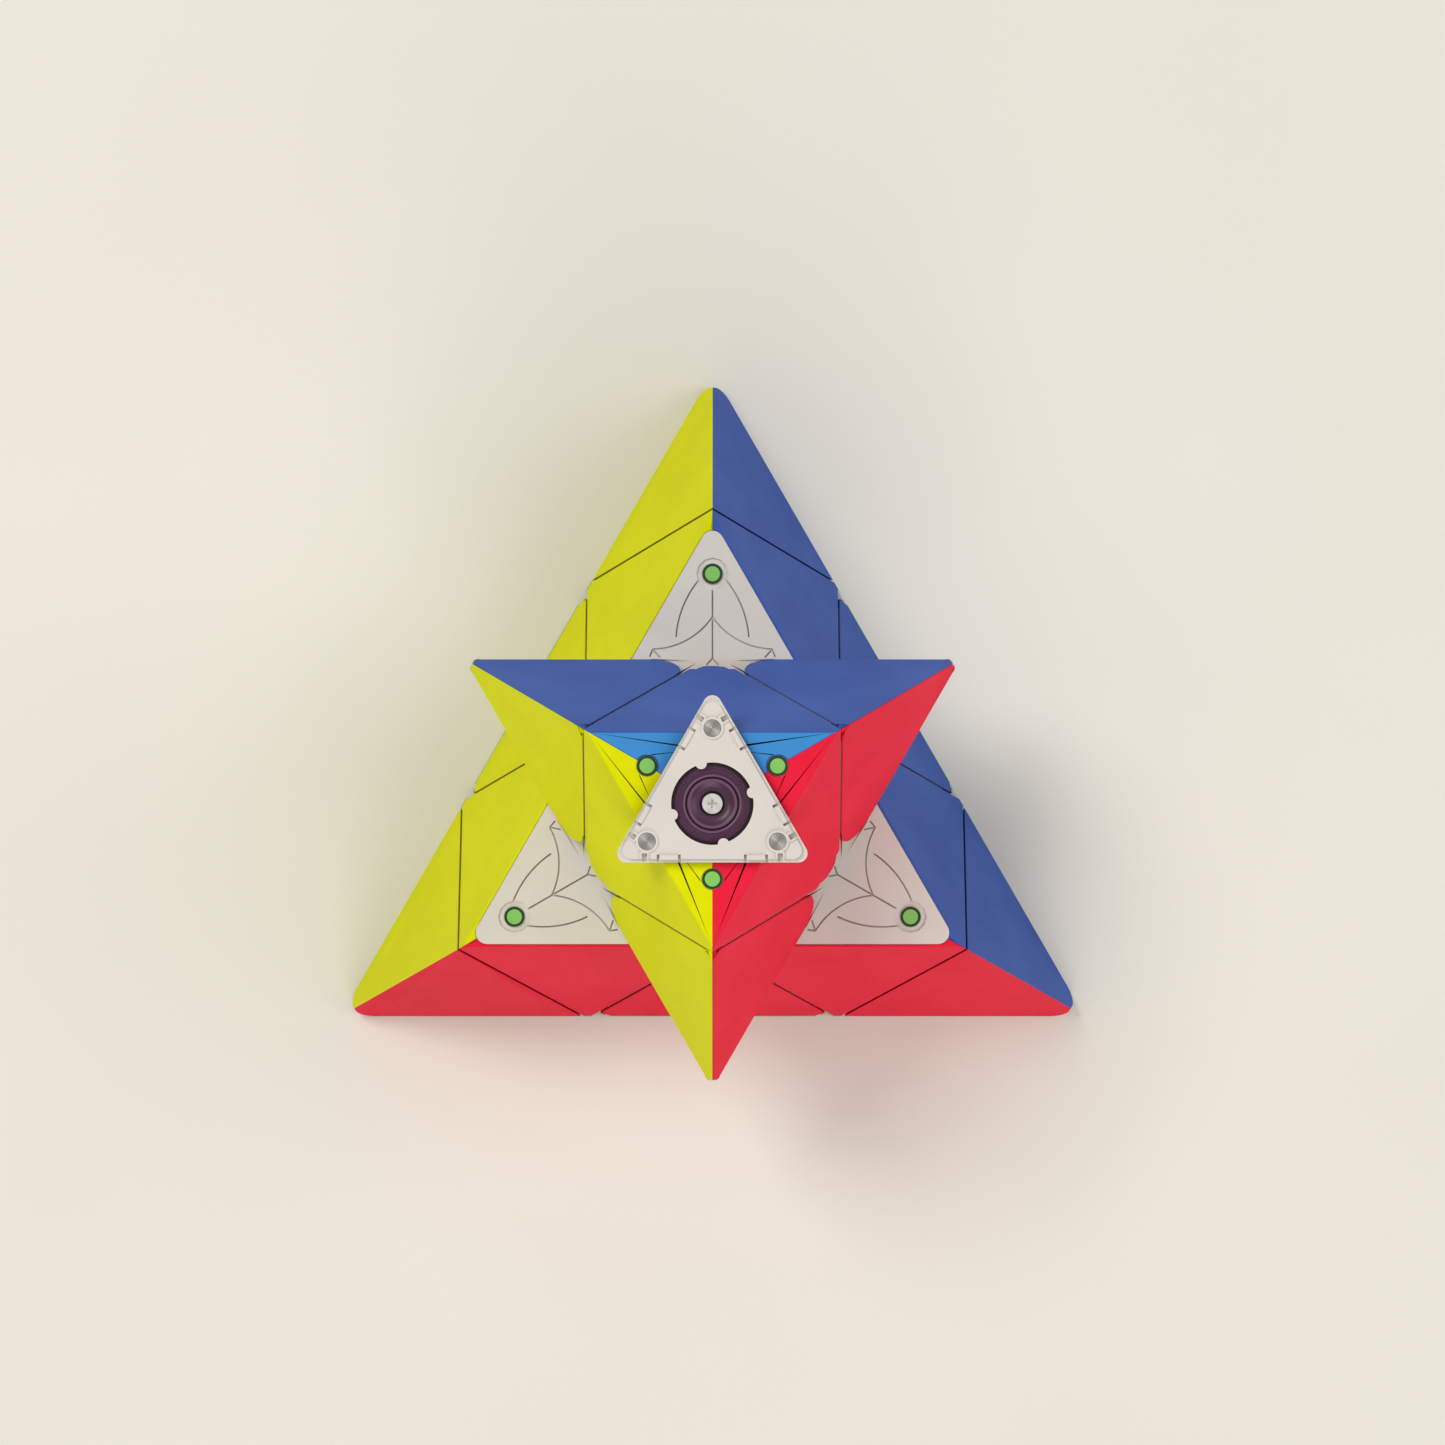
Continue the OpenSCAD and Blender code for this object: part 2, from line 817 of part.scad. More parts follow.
in_top_layer() color(metal) for (j = [1:3]) at_side(top, j) edge_magnets();  // magnets_top_edges
standing() color(metal) for (i = [1:3]) at_side(i, i % 3 + 1) edge_magnets();  // magnets_base_edges
standing() color(metal) at_corner(top) plate_magnets();  // magnets_tip_top
standing() color(metal) at_corner(back) plate_magnets();  // magnets_tip_back
standing() color(metal) at_corner(left) plate_magnets();  // magnets_tip_left
standing() color(metal) at_corner(right) plate_magnets();  // magnets_tip_right
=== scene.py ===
# %% [markdown]
# # A pyramid twisty puzzle, seen from straight above
#
# The puzzle is a tetrahedron of coloured plastic shells on white plastic
# pieces. Its top layer is turned by a sixth of a turn, so three white cut faces
# come into view, and the top tip's cap is off, so the white tip plate and the
# purple tension dial show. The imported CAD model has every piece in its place.
# Here the pieces get soft moulded edges, real finishes, light and a camera.

import json
import math

import bpy
import numpy as np
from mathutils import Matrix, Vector

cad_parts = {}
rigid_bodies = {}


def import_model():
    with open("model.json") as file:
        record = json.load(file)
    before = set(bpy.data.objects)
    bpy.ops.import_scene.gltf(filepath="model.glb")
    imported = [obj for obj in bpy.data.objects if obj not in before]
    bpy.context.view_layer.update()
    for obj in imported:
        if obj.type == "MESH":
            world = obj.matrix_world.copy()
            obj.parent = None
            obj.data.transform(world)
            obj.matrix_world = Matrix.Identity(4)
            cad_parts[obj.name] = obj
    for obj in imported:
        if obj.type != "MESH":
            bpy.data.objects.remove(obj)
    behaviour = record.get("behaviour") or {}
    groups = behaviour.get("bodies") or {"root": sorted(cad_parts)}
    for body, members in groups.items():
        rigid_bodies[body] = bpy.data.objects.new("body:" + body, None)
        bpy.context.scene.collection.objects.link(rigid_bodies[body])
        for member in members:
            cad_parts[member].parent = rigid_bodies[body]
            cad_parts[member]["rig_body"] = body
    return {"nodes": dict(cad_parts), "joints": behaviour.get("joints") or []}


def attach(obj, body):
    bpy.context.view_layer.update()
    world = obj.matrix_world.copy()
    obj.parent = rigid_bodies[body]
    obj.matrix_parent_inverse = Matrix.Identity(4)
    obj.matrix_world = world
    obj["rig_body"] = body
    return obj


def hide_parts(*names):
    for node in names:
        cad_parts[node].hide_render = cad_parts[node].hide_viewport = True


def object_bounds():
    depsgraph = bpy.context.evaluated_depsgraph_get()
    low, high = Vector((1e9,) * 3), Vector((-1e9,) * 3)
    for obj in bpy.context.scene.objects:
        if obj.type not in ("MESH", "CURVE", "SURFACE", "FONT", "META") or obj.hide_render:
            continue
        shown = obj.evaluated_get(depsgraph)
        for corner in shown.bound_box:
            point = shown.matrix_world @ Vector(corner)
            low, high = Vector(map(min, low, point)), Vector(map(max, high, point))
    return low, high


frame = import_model()
cad_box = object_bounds()
nodes = frame["nodes"]
scene = bpy.context.scene
mm = 0.001
print("CAD box in mm", [[round(v / mm, 1) for v in corner] for corner in cad_box])

# %% [markdown]
# ## Where the corners are
#
# Each tip turns about an axis from the centre of the ball core to a corner. The
# joints of the frame hold that centre and those axes, so every new piece can be
# made once, standing on +Z, and then carried to its corner by a rotation whose
# columns are the corner's own directions.

# %% Corner frames
CORNERS = ["top", "back", "left", "right"]
joints = {joint["name"]: joint for joint in frame["joints"]}
core_centre = np.array(joints["top_layer_turn"]["pos_m"])
corner_axes = {c: np.array(joints[f"tip_{c}_turn"]["axis"], float) for c in CORNERS}


def corner_turn(corner, neighbour):
    """Rotation whose columns are the corner's directions: Z runs along its axis
    and Y toward the neighbour, made square to Z; X is Y cross Z."""
    z = corner_axes[corner]
    y = corner_axes[neighbour] - z * (corner_axes[neighbour] @ z)
    y = y / np.linalg.norm(y)
    return np.column_stack([np.cross(y, z), y, z])


def carried(points, turn):
    """Points turned by a rotation matrix and moved to the core's centre."""
    return points @ turn.T + core_centre


corner_levels = {c: corner_turn(c, "back" if c == "top" else "top") for c in CORNERS}
print("core centre in mm", np.round(core_centre / mm, 2))

# %% [markdown]
# ## Colours and the node helper
#
# Colours are easiest to read as the hex values of a paint chart. Blender works
# in linear light, so one function converts them. A second small function adds a
# node, sets it up and links it, and every material below is made with it.

# %% Colour and node helpers
def linear(hex_colour, alpha=1.0):
    """sRGB hex to linear: below 0.04045 it is c/12.92, above it is a power of 2.4."""
    values = [int(hex_colour[i:i + 2], 16) / 255 for i in (1, 3, 5)]
    return [v / 12.92 if v <= 0.04045 else ((v + 0.055) / 1.055) ** 2.4 for v in values] + [alpha]


def add(tree, kind, links=(), settings=None, **inputs):
    """Adds a node, sets its properties and its unlinked sockets, and links
    (its input, other node, other node's output) for each entry of links."""
    node = tree.nodes.new(kind)
    for name, value in (settings or {}).items():
        setattr(node, name, value)
    for name, value in inputs.items():
        node.inputs[name.replace("_", " ")].default_value = value
    for to_socket, other, from_socket in links:
        tree.links.new(other.outputs[from_socket], node.inputs[to_socket])
    return node


def new_material(name):
    """An empty material with its output node, as (material, tree, output)."""
    material = bpy.data.materials.new(name)
    material.use_nodes = True
    material.node_tree.nodes.clear()
    output = material.node_tree.nodes.new("ShaderNodeOutputMaterial")
    return material, material.node_tree, output


# %% [markdown]
# ## Moulded ABS
#
# The shells are ABS, moulded in a tool whose walls were spark-eroded. That
# leaves a very fine grain, about a third of a millimetre across and a few
# microns high, which turns sharp reflections into a soft satin one. Slow cloudy
# flow in the colour keeps a large face from looking like flat paint. The same
# recipe with less grain gives the smooth white inner pieces.

# %% Moulded plastic
# Painted shade in grooves: ambient occlusion within GROOVE_REACH darkens the colour below
# GROOVE_OPEN, toward the deep shade times GROOVE_SHADE, keeping GROOVE_KEPT of the colour where
# fully closed.
GROOVE_REACH = 0.7 * mm
GROOVE_OPEN, GROOVE_KEPT, GROOVE_SHADE = 0.55, 0.25, 0.35
CLOUD_SIZE = 14 * mm
GLOSS_SPREAD = 0.06


def moulded_abs(name, deep, pale, roughness=0.42, grain_mm=0.35, grain_um=6, gloss_level=0.5,
                seat_axis=None, seat_highlight_colour="#000000"):
    """ABS: cloudy colour between two shades, satin gloss and a fine grain. Inside
    narrow grooves ambient occlusion darkens the colour: painted shade. With a
    seat_axis, faces square to that axis take the seat colour, a painted highlight:
    their normal's dot product with it is near one."""
    material, tree, output = new_material(name)
    place = add(tree, "ShaderNodeTexCoord")
    cloud = add(tree, "ShaderNodeTexNoise", [("Vector", place, "Object")],
                Scale=1 / CLOUD_SIZE, Detail=3.0, Roughness=0.55)
    shade = add(tree, "ShaderNodeValToRGB", [("Fac", cloud, "Fac")])
    shade.color_ramp.elements[0].position = 0.3
    shade.color_ramp.elements[0].color = linear(deep)
    shade.color_ramp.elements[1].position = 0.7
    shade.color_ramp.elements[1].color = linear(pale)
    # Painted highlight: faces square to the seat axis take a paler colour that stands for light on
    # the seat facet.
    if seat_axis is not None:
        facing = add(tree, "ShaderNodeVectorMath", [(0, place, "Normal")],
                     {"operation": "DOT_PRODUCT"})
        facing.inputs[1].default_value = seat_axis
        square = add(tree, "ShaderNodeMapRange", [("Value", facing, "Value")])
        square.inputs["From Min"].default_value = 0.97
        square.inputs["From Max"].default_value = 0.99
        painted_seat_highlight = add(tree, "ShaderNodeMix", [("Factor", square, "Result")], {"data_type": "RGBA"})
        tree.links.new(shade.outputs["Color"], painted_seat_highlight.inputs[6])
        painted_seat_highlight.inputs[7].default_value = linear(seat_highlight_colour)
        plain, plain_socket = painted_seat_highlight, 2
    else:
        plain, plain_socket = shade, "Color"
    # Painted shade: where ambient occlusion finds narrow grooves, the colour darkens.
    crevice = add(tree, "ShaderNodeAmbientOcclusion", (), {"samples": 8}, Distance=GROOVE_REACH)
    depth = add(tree, "ShaderNodeMapRange", [("Value", crevice, "AO")])
    depth.inputs["From Max"].default_value = GROOVE_OPEN
    depth.inputs["To Min"].default_value = GROOVE_KEPT
    painted_groove_shade = add(tree, "ShaderNodeMix", [("Factor", depth, "Result")],
                   {"data_type": "RGBA"})
    painted_groove_shade.inputs[6].default_value = [v * GROOVE_SHADE for v in linear(deep)[:3]] + [1]
    tree.links.new(plain.outputs[plain_socket], painted_groove_shade.inputs[7])
    grain = add(tree, "ShaderNodeTexNoise", [("Vector", place, "Object")],
                Scale=1 / (grain_mm * mm), Detail=2.0, Roughness=0.6)
    gloss = add(tree, "ShaderNodeMapRange", [("Value", grain, "Fac")])
    gloss.inputs["To Min"].default_value = roughness - GLOSS_SPREAD
    gloss.inputs["To Max"].default_value = roughness + GLOSS_SPREAD
    bump = add(tree, "ShaderNodeBump", [("Height", grain, "Fac")],
               Strength=0.5, Distance=grain_um * 1e-6)
    shader = add(tree, "ShaderNodeBsdfPrincipled",
                 [("Roughness", gloss, "Result"), ("Normal", bump, "Normal")],
                 IOR=1.53, Specular_IOR_Level=gloss_level)
    tree.links.new(painted_groove_shade.outputs[2], shader.inputs["Base Color"])
    tree.links.new(shader.outputs["BSDF"], output.inputs["Surface"])
    return material


SHELL_GLOSS = {"roughness": 0.45, "gloss_level": 0.05}
shell_yellow = moulded_abs("satin moulded ABS, yellow-green", "#D4D600", "#DEE002", **SHELL_GLOSS)
shell_blue = moulded_abs("satin moulded ABS, blue", "#3C59A8", "#4664B3", **SHELL_GLOSS)
shell_red = moulded_abs("satin moulded ABS, red", "#E01A36", "#EA2842", **SHELL_GLOSS)
shell_green = moulded_abs("satin moulded ABS, green", "#279A46", "#2FA84F", **SHELL_GLOSS)
inner_white = moulded_abs("smooth moulded ABS, warm white", "#D2CBC3", "#DBD4CC",
                          roughness=0.38, grain_mm=0.6, grain_um=3)
core_grey = moulded_abs("smooth moulded ABS, dark grey", "#303236", "#3A3C40")
dial_purple = moulded_abs("glossy moulded ABS, dark purple", "#43253B", "#4F2D45",
                          roughness=0.35, grain_um=2, gloss_level=0.3)
# The mauve is partly a painted highlight: on the dial's outer raised ring it stands for the edge's
# highlight.
dial_mauve_and_highlight = moulded_abs("glossy moulded ABS, mauve and painted highlight", "#65405A", "#704A64",
                         roughness=0.35, grain_um=2, gloss_level=0.3)
# Near black is also painted shade: the dial's groove and the well around its screw take it.
dial_black_and_shade = moulded_abs("glossy moulded ABS, near black and painted shade", "#180610", "#230C19",
                        roughness=0.3, grain_um=2)
paint_green = moulded_abs("satin enamel, light green", "#79BC55", "#86C764",
                          roughness=0.35, grain_um=2)
paint_dark = moulded_abs("satin enamel, deep green", "#0A3312", "#0F4019",
                         roughness=0.35, grain_um=2)

# %% [markdown]
# ## Metals
#
# The screws are zinc-plated steel and the magnets are nickel-plated. A metal's
# colour is its reflection, so it gets little texture: a slightly uneven
# roughness from handling, and on the magnets fine turning marks left by the
# lapping of the disc.

# %% Plated steel
def plated_metal(name, colour, roughness, wear_mm):
    """Plated metal: full metallic, with roughness that wanders by wear_mm."""
    material, tree, output = new_material(name)
    place = add(tree, "ShaderNodeTexCoord")
    wear = add(tree, "ShaderNodeTexNoise", [("Vector", place, "Object")],
               Scale=1 / (wear_mm * mm), Detail=4.0)
    rough = add(tree, "ShaderNodeMapRange", [("Value", wear, "Fac")])
    rough.inputs["To Min"].default_value = roughness - 0.08
    rough.inputs["To Max"].default_value = roughness + 0.1
    bump = add(tree, "ShaderNodeBump", [("Height", wear, "Fac")],
               Strength=0.3, Distance=4e-6)
    shader = add(tree, "ShaderNodeBsdfPrincipled",
                 [("Roughness", rough, "Result"), ("Normal", bump, "Normal")],
                 Base_Color=linear(colour), Metallic=1.0)
    tree.links.new(shader.outputs["BSDF"], output.inputs["Surface"])
    return material


def lapped_metal(name, colour, roughness, pitch_mm):
    """Metal lapped in circles: fine rings from the polar UV, and a highlight that
    is drawn out along them (the tangent follows the radius)."""
    material, tree, output = new_material(name)
    polar = add(tree, "ShaderNodeUVMap", settings={"uv_map": "polar"})
    rings = add(tree, "ShaderNodeTexWave", [("Vector", polar, "UV")],
                {"bands_direction": "X"}, Scale=1 / pitch_mm, Distortion=0.6, Detail=2.0)
    bump = add(tree, "ShaderNodeBump", [("Height", rings, "Fac")], Strength=0.25, Distance=4e-6)
    tangent = add(tree, "ShaderNodeTangent",
                  settings={"direction_type": "UV_MAP", "uv_map": "polar"})
    shader = add(tree, "ShaderNodeBsdfPrincipled",
                 [("Normal", bump, "Normal"), ("Tangent", tangent, "Tangent")],
                 Base_Color=linear(colour), Metallic=1.0, Roughness=roughness, Anisotropic=0.7)
    tree.links.new(shader.outputs["BSDF"], output.inputs["Surface"])
    return material


zinc_steel = plated_metal("zinc-plated steel", "#EFECE8", 0.42, 0.8)
nickel = plated_metal("nickel plate", "#C9C6C2", 0.3, 0.25)
lapped_nickel = lapped_metal("lapped nickel plate", "#CFCBC6", 0.3, 0.08)

# %% [markdown]
# ## Finishing the CAD pieces
#
# The CAD pieces have the right shapes but knife-sharp edges, and no moulded
# edge is sharp. A Weld joins the loose triangles and a Bevel rounds only the
# edges that turn by more than 25 degrees: by 0.2 mm on a shell, and far less on
# the white pieces, whose small details would run into each other.

# %% Soft edges and finishes for the CAD pieces
WELD_REACH = 0.002 * mm
BEVEL_TURN = math.radians(25)
SHELL_EDGE_MM, INNER_EDGE_MM, CORE_EDGE_MM = 0.2, 0.05, 0.3


def soften(node, width_mm, segments=2, clamp=True):
    """Weld, then a Bevel of that width on edges that turn over BEVEL_TURN. Where
    a piece has tiny faces, clamp keeps the bevel from running past them."""
    weld = node.modifiers.new("join triangles", "WELD")
    weld.merge_threshold = WELD_REACH
    bevel = node.modifiers.new("moulded edge", "BEVEL")
    bevel.width = width_mm * mm
    bevel.segments = segments
    bevel.limit_method = "ANGLE"
    bevel.angle_limit = BEVEL_TURN
    bevel.use_clamp_overlap = clamp


def finish(node, material):
    """Gives every material slot of a node the same finish."""
    for index in range(len(node.material_slots)):
        node.material_slots[index].material = material


# The paler blue on the seat facets of the blue axial shells is a painted highlight.
seat_highlight_blues = {
    corner: moulded_abs(f"satin moulded ABS, blue with a light seat, {corner}",
                        "#3C59A8", "#4664B3", seat_axis=corner_axes[corner],
                        seat_highlight_colour="#3F88C8", **SHELL_GLOSS)
    for corner in ("top", "back", "right")
}
SHELL_FINISH = {"blue": shell_blue, "yellow": shell_yellow, "red": shell_red, "green": shell_green}
for name, node in nodes.items():
    colour = name.rsplit("_", 1)[-1]
    if name.startswith("axial") and colour == "blue":
        finish(node, seat_highlight_blues[name.split("_")[1]])
        soften(node, SHELL_EDGE_MM, 3, clamp=False)
    elif colour in SHELL_FINISH:
        finish(node, SHELL_FINISH[colour])
        soften(node, SHELL_EDGE_MM, 3, clamp=name.startswith("cap") or colour == "green")
    elif name.startswith(("axial", "edge", "tip_plate")):
        finish(node, inner_white)
        soften(node, INNER_EDGE_MM)
    elif name == "core":
        finish(node, core_grey)
        soften(node, CORE_EDGE_MM)
    elif name.startswith(("axle", "tension", "spring")):
        finish(node, zinc_steel)
    elif name.startswith("magnets"):
        finish(node, nickel)
print("finished", len(nodes), "CAD pieces")

# %% [markdown]
# ## Turned pieces
#
# The dials and magnets are round, so each is a profile carried around an axis.
# The profile is a closed list of stations (radius, height), and each band
# between two stations has a finish. Working in the corner's own frame keeps the
# lists short. A polar UV map goes with it, because a turned metal face is brushed
# in circles and its highlight follows them.

# %% Sweep a profile around an axis
SHARP_TURN = math.radians(35)


def turned(stations, turn, offset=(0, 0), steps=96, lift=None):
    """Closed ring surface. Station i gives radius r and height z, and step k gives
    the angle a, so the point is (r cos a, r sin a, z + lift(r, a)) plus the
    offset, in mm, then carried to the corner. The polar UV is (r, a / 2 pi).
    Returns the points, the quads, the band of each quad and its corners' UV."""
    profile = np.array(stations, float)
    angles = np.linspace(0, 2 * np.pi, steps, False)
    radius, angle = np.meshgrid(profile[:, 0], angles, indexing="ij")
    level = np.repeat(profile[:, 1:2], steps, 1)
    if lift is not None:
        level = level + lift(radius, angle)
    x, y = radius * np.cos(angle) + offset[0], radius * np.sin(angle) + offset[1]
    points = carried(np.stack([x, y, level], -1).reshape(-1, 3) * mm, turn)
    band, step = np.meshgrid(np.arange(len(profile)), np.arange(steps), indexing="ij")
    band_next, step_next = (band + 1) % len(profile), (step + 1) % steps
    corners = [(band, step), (band, step_next), (band_next, step_next), (band_next, step)]
    quads = np.stack([b * steps + s for b, s in corners], -1).reshape(-1, 4)
    across = np.stack([radius[b, 0] for b, _ in corners], -1)
    around = np.stack([step, step + 1, step + 1, step], -1) / steps
    uv = np.stack([across, around], -1).reshape(-1, 2)
    return points, quads, band.ravel(), uv


def joined(parts):
    """Several turned surfaces as one: their quads are shifted past the points before."""
    starts = np.cumsum([0] + [len(part[0]) for part in parts[:-1]])
    return (np.concatenate([part[0] for part in parts]),
            np.concatenate([part[1] + start for part, start in zip(parts, starts)]),
            np.concatenate([part[2] for part in parts]),
            np.concatenate([part[3] for part in parts]))


def piece(name, surface, finishes, band_finish, node_name):
    """A finished object from a turned surface. band_finish gives each band's finish.
    It rides on the body of the CAD node that it stands for."""
    points, quads, bands, uv = surface
    mesh = bpy.data.meshes.new(name)
    mesh.from_pydata(points.tolist(), [], quads.tolist())
    for material in finishes:
        mesh.materials.append(material)
    mesh.polygons.foreach_set("material_index", np.array(band_finish, np.int32)[bands])
    mesh.polygons.foreach_set("use_smooth", np.ones(len(quads), bool))
    mesh.uv_layers.new(name="polar").data.foreach_set("uv", uv.astype(np.float32).ravel())
    mesh.set_sharp_from_angle(angle=SHARP_TURN)
    mesh.update()
    made = bpy.data.objects.new(name, mesh)
    scene.collection.objects.link(made)
    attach(made, nodes[node_name]["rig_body"])
    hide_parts(node_name)
    return made


# %% [markdown]
# ## Tension dials
#
# Each dial is a small purple knob set flush in the tip plate. It has a nearly
# black rim, a ring of raised marks to count its clicks, a groove between two pale
# rings, and a dished centre that leads down to the screw. The groove and the well
# around the screw are coloured near black as painted shade, and the pale mauve of
# the outer raised ring is partly a painted highlight on its edge. Its top, its
# underside and its rim radius are read from the CAD dial, and the rest is stated in mm.

# %% Dial profile
def local_box(node_name, corner):
    """Lowest and highest coordinates of a CAD node in its corner's frame, in mm."""
    mesh = nodes[node_name].data
    points = np.empty(len(mesh.vertices) * 3, np.float32)
    mesh.vertices.foreach_get("co", points)
    local = (points.reshape(-1, 3) - core_centre) @ corner_levels[corner] / mm
    return local.min(0), local.max(0)


dial_low, dial_high = local_box("dial_top", "top")
dial_r, dial_top, dial_hub_bottom = dial_high[0], dial_high[2], dial_low[2]
bore_r, well_r, hub_r = 1.28, 1.6, dial_r - 0.5
rim_bottom, well_floor = dial_top - 0.9, dial_top - 1.2
mark_count, mark_r, mark_long, mark_wide, mark_high = 20, 4.47, 0.27, 0.2, 0.14
DIAL_STEPS = 600


def raised_marks(radius, angle):
    """Height of the click marks: a flat-topped bump (1 - |d|^4)^2 at each mark,
    where d is the distance from its middle over its half length or half width."""
    pitch = 2 * np.pi / mark_count
    across = radius * ((angle + pitch / 2) % pitch - pitch / 2) / mark_wide
    along = (radius - mark_r) / mark_long
    distance = np.maximum(np.abs(across), np.abs(along))
    return mark_high * np.clip(1 - distance ** 4, 0, 1) ** 2


print(f"dial radius {dial_r:.2f} mm, top {dial_top:.2f} mm above the core's centre")

# %% Dial surface
def dial_stations():
    """Closed outline of the dial, and the finish of the band after each station:
    0 purple, 1 mauve, partly a painted highlight on the outer raised ring, 2 near
    black, painted shade in the groove and the well."""
    floor = dial_top - 0.15
    dish = [(2.95 - 1.05 * s, dial_top - 0.45 * np.sin(np.pi / 2 * s))
            for s in np.linspace(0, 1, 9)]
    rows = [
        (bore_r, dial_hub_bottom, 0), (hub_r, dial_hub_bottom, 0), (hub_r, rim_bottom, 0),
        (dial_r, rim_bottom, 2), (dial_r, dial_top - 0.12, 2),
        (dial_r - 0.04, dial_top - 0.03, 2), (dial_r - 0.12, dial_top, 2),
        (dial_r - 0.28, dial_top, 2), (dial_r - 0.34, dial_top - 0.06, 0),
        (dial_r - 0.42, floor, 0),
    ]
    rows += [(r, floor, 0) for r in np.linspace(4.85, 4.05, 25)]
    # Finish 1 on the outer raised ring is partly a painted highlight; finish 2 in the groove is
    # painted shade.
    rows += [
        (3.95, floor, 0), (3.89, dial_top - 0.04, 1), (3.82, dial_top, 1), (3.64, dial_top, 1),
        (3.58, dial_top - 0.04, 2), (3.5, dial_top - 0.3, 2), (3.36, dial_top - 0.3, 2),
        (3.31, dial_top - 0.05, 1), (3.26, dial_top, 1), (3.06, dial_top, 1),
    ]
    rows += [(r, z, 0) for r, z in dish]
    # The well around the screw takes finish 2, painted shade.
    rows += [(well_r + 0.12, dial_top - 0.45, 2), (well_r, dial_top - 0.55, 2),
             (well_r, well_floor, 2), (bore_r, well_floor, 2)]
    return rows


dial_rows = dial_stations()
for corner in CORNERS:
    surface = turned([row[:2] for row in dial_rows], corner_levels[corner],
                     steps=DIAL_STEPS, lift=raised_marks)
    piece(f"tension_dial_{corner}", surface, [dial_purple, dial_mauve_and_highlight, dial_black_and_shade],
          [row[2] for row in dial_rows], f"dial_{corner}")
print("each dial has", len(surface[1]), "quads")

# %% [markdown]
# ## Magnets
#
# Small disc magnets sit in the cut faces. Those of the axial pieces have a light
# green face inside a dark green ring. Those of the edge pieces and of the tip
# plates are bare nickel, lapped in circles. The CAD discs give every place: each
# disc belongs to the corner along whose axis it is thinnest.

# %% Find the discs of a node
def discs(node_name, reach_mm=4.2):
    """Every disc in a node as (corner, x, y, middle, radius, half thickness), in mm,
    in that corner's frame. Points closer than reach_mm to a first point are one
    disc, and its corner is the one whose axis sees the least spread."""
    mesh = nodes[node_name].data
    points = np.empty(len(mesh.vertices) * 3, np.float32)
    mesh.vertices.foreach_get("co", points)
    rest, found = (points.reshape(-1, 3) - core_centre) / mm, []
    while len(rest):
        near = np.linalg.norm(rest - rest[0], axis=1) < reach_mm
        local = {c: rest[near] @ turn for c, turn in corner_levels.items()}
        corner = min(local, key=lambda c: np.ptp(local[c][:, 2]))
        low, high = local[corner].min(0), local[corner].max(0)
        middle, half = (low + high) / 2, (high - low) / 2
        found.append((corner, middle[0], middle[1], middle[2], half[0], half[2]))
        rest = rest[~near]
    return found


def disc_rows(radius, half, middle, ring, finishes):
    """Outline of a disc with soft rims. Both faces have an inner field inside ring,
    and a pinhole at the centre keeps the quads there from having no area."""
    soft, centre = 0.06, 0.001
    inner, outer, side = finishes
    low, high = middle - half, middle + half
    return [
        (centre, low, inner), (ring, low, outer), (radius - soft, low, side),
        (radius, low + soft, side), (radius, high - soft, side), (radius - soft, high, outer),
        (ring, high, inner), (centre, high, inner),
    ]


# %% Make the magnets
DISC_STEPS = 72
GREEN_FACE_R, BARE_FACE_R = 1.0, 0.5


def make_magnets(node_name, name, ring, materials, finishes):
    """Makes one piece from all the discs of a CAD node and returns their number."""
    parts = []
    for corner, x, y, middle, radius, half in discs(node_name):
        rows = disc_rows(radius, half, middle, ring, finishes)
        parts.append(turned([row[:2] for row in rows], corner_levels[corner], (x, y), DISC_STEPS))
    piece(name, joined(parts), materials, [row[2] for row in rows], node_name)
    return len(parts)


for place in ("top_axial", "base_axials"):
    count = make_magnets(f"magnets_{place}", f"green_magnets_{place}", GREEN_FACE_R,
                         [paint_green, paint_dark, nickel], [0, 1, 2])
    print("green-faced magnets,", place, count)
for place in ("top_edges", "base_edges", *(f"tip_{corner}" for corner in CORNERS)):
    count = make_magnets(f"magnets_{place}", f"bare_magnets_{place}", BARE_FACE_R,
                         [lapped_nickel, nickel], [0, 0, 1])
    print("bare magnets,", place, count)

# %% [markdown]
# ## Floor, light and camera
#
# The puzzle lies on a pale, matt sheet. A soft light stands to the upper left,
# two larger ones fill from the right and the front, and a pale world lifts the
# shadows, as in a small product studio. The camera hangs high above the top tip and looks
# straight down, with a long lens, so the puzzle shows as a triangle.

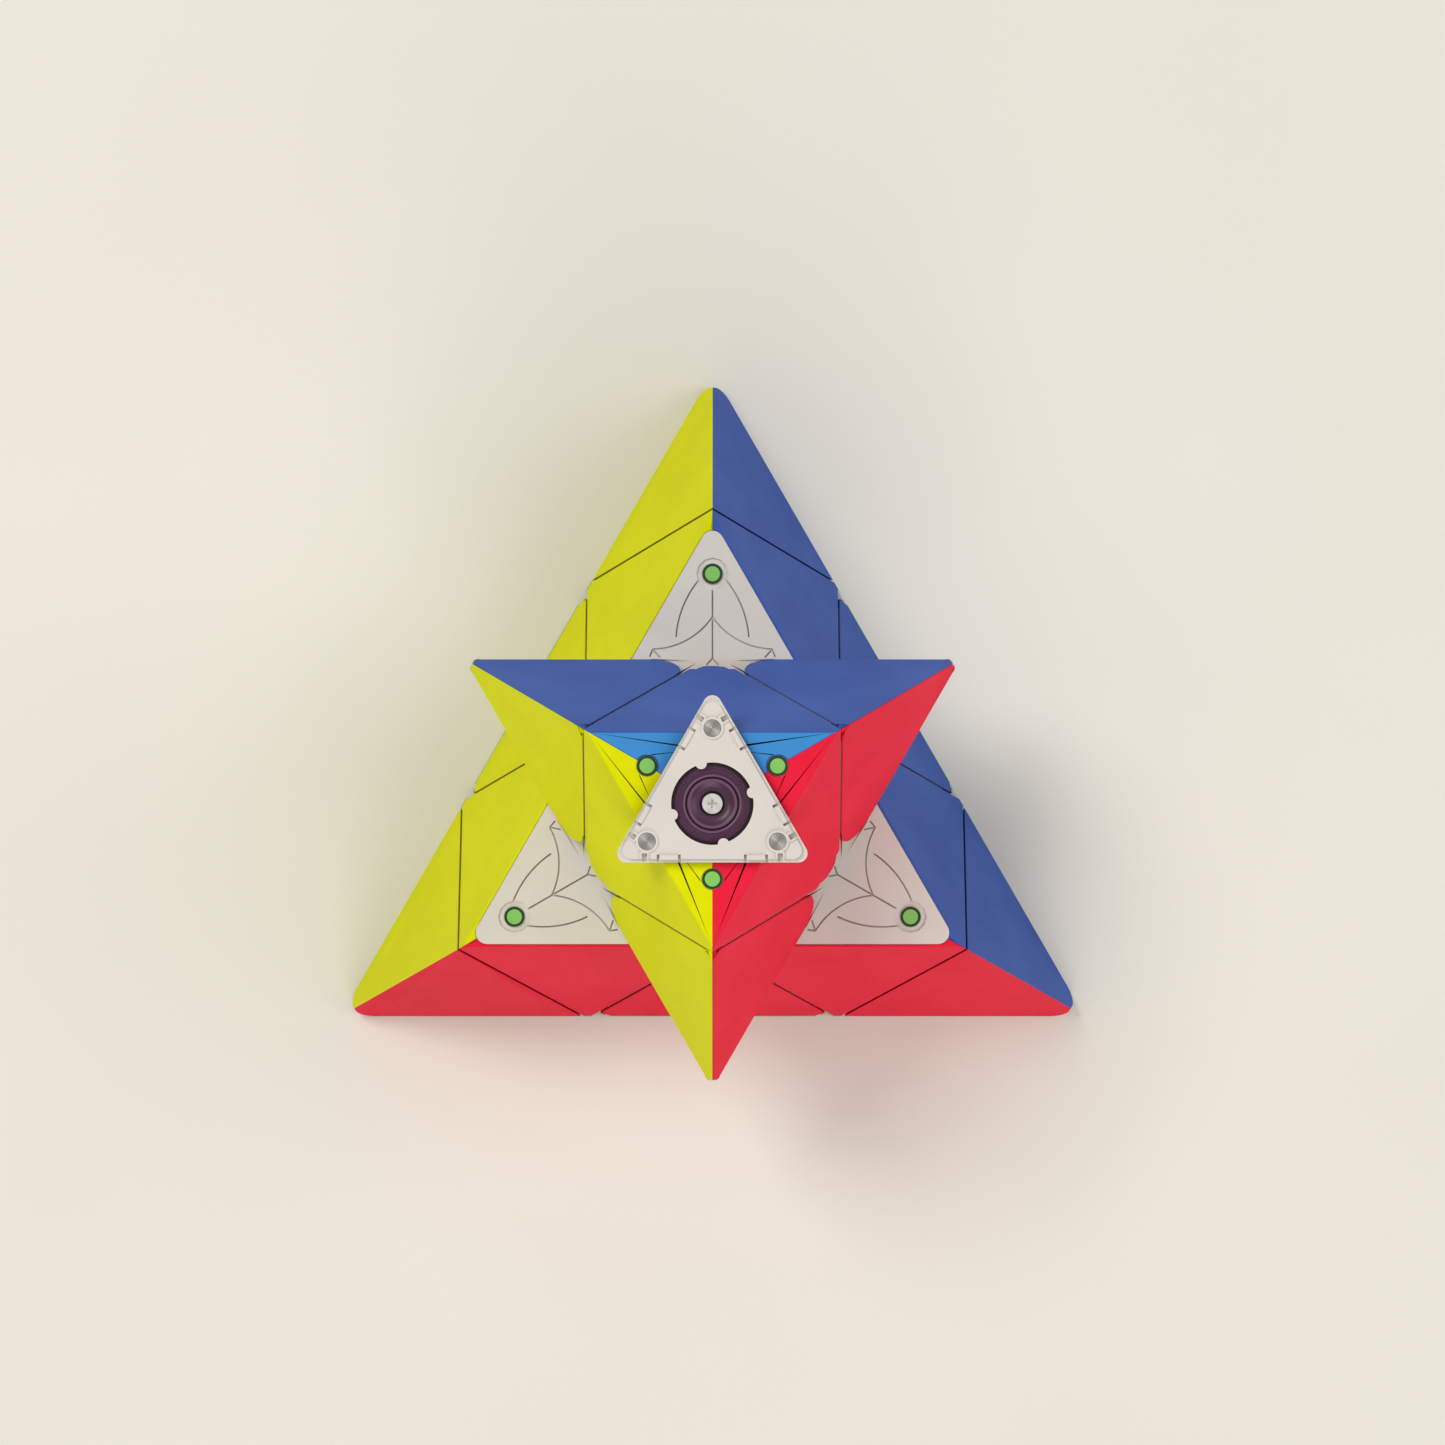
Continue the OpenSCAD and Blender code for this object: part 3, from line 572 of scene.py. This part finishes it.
# %% Floor
def pale_sheet():
    """A matt, very slightly mottled sheet of card."""
    material, tree, output = new_material("matt card, warm white")
    place = add(tree, "ShaderNodeTexCoord")
    mottle = add(tree, "ShaderNodeTexNoise", [("Vector", place, "Object")], Scale=1 / (60 * mm))
    shade = add(tree, "ShaderNodeValToRGB", [("Fac", mottle, "Fac")])
    shade.color_ramp.elements[0].color = linear("#DEDACF")
    shade.color_ramp.elements[1].color = linear("#E4E0D6")
    shader = add(tree, "ShaderNodeBsdfPrincipled", [("Base Color", shade, "Color")], Roughness=0.9)
    tree.links.new(shader.outputs["BSDF"], output.inputs["Surface"])
    return material


def sheet(half_m):
    """A square floor at the lowest point of the puzzle."""
    floor_z = cad_box[0][2]
    mesh = bpy.data.meshes.new("floor")
    corners = [(-half_m, -half_m, floor_z), (half_m, -half_m, floor_z),
               (half_m, half_m, floor_z), (-half_m, half_m, floor_z)]
    mesh.from_pydata(corners, [], [(0, 1, 2, 3)])
    mesh.materials.append(pale_sheet())
    floor = bpy.data.objects.new("floor", mesh)
    scene.collection.objects.link(floor)


sheet(3.0)
print("floor at", round(cad_box[0][2] / mm, 2), "mm")

# %% Lights
def area_light(name, place, target, size_m, watts, colour):
    """A square area light at place that faces target."""
    data = bpy.data.lights.new(name, "AREA")
    data.shape = "SQUARE"
    data.size = size_m
    data.energy = watts
    data.color = linear(colour)[:3]
    light = bpy.data.objects.new(name, data)
    scene.collection.objects.link(light)
    light.location = place
    aim = np.array(target) - np.array(place)
    light.rotation_euler = Vector(aim).to_track_quat("-Z", "Y").to_euler()
    return light


middle = (0, 0, 0.03)
area_light("key softbox", (-0.6, 0.5, 1.0), middle, 0.5, 8.0, "#FFFEFC")
area_light("fill softbox", (0.9, 0.1, 0.8), middle, 0.8, 4.5, "#FBFCFF")
area_light("front softbox", (0.1, -1.0, 0.7), middle, 0.8, 6.0, "#FFFEFC")

world = bpy.data.worlds.new("pale studio")
world.use_nodes = True
background = world.node_tree.nodes["Background"]
background.inputs["Color"].default_value = linear("#F4F2EE")
background.inputs["Strength"].default_value = 0.38
scene.world = world
scene.view_settings.view_transform = "Standard"

# %% Camera
camera_height = 2.0
frame_width = 0.19607
aim_x, aim_y = 0.00134, 0.0107
camera_data = bpy.data.cameras.new("camera above the tip")
camera_data.sensor_width = 36.0
camera_data.lens = camera_data.sensor_width * camera_height / frame_width
camera_data.clip_end = 20.0
camera = bpy.data.objects.new("camera above the tip", camera_data)
scene.collection.objects.link(camera)
camera.location = (aim_x, aim_y, camera_height)
scene.camera = camera
print(f"lens {camera_data.lens:.0f} mm, {camera_height} m above the floor")
